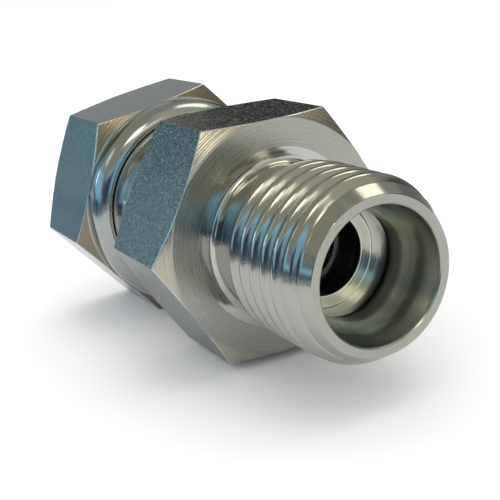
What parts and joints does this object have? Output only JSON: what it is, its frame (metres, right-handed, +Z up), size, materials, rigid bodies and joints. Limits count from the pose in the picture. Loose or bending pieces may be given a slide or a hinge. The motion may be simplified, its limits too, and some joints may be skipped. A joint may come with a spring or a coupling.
{
  "type": "swivel nut connector",
  "caption": "Straight hydraulic tube connector: threaded 24 degree cone end, wrench hexagon, and a swivel nut turning on a sealing cone nose.",
  "frame": {"origin": "on the axis at the tube stop, where the tube socket ends", "axes": "+X along the fitting's axis towards the threaded tube end, +Z up, normal to the top flat of the body hexagon"},
  "size_m": [0.0406, 0.022, 0.0206],
  "materials": {
    "body_steel": "bright zinc plated, turned rings and grainy hexagon flats",
    "nut_steel": "bright zinc plated, smooth flats",
    "seal_rubber": "smooth black nitrile rubber"
  },
  "bodies": {
    "connector": {"connector_body": "body_steel", "cone_o_ring": "seal_rubber"},
    "nut": {"swivel_nut": "nut_steel"}
  },
  "joints": [
    {"name": "nut_swivel", "type": "hinge", "parent": "connector", "child": "nut", "pos_m": [-0.029, 0, 0], "axis": [1, 0, 0], "continuous": true}
  ]
}
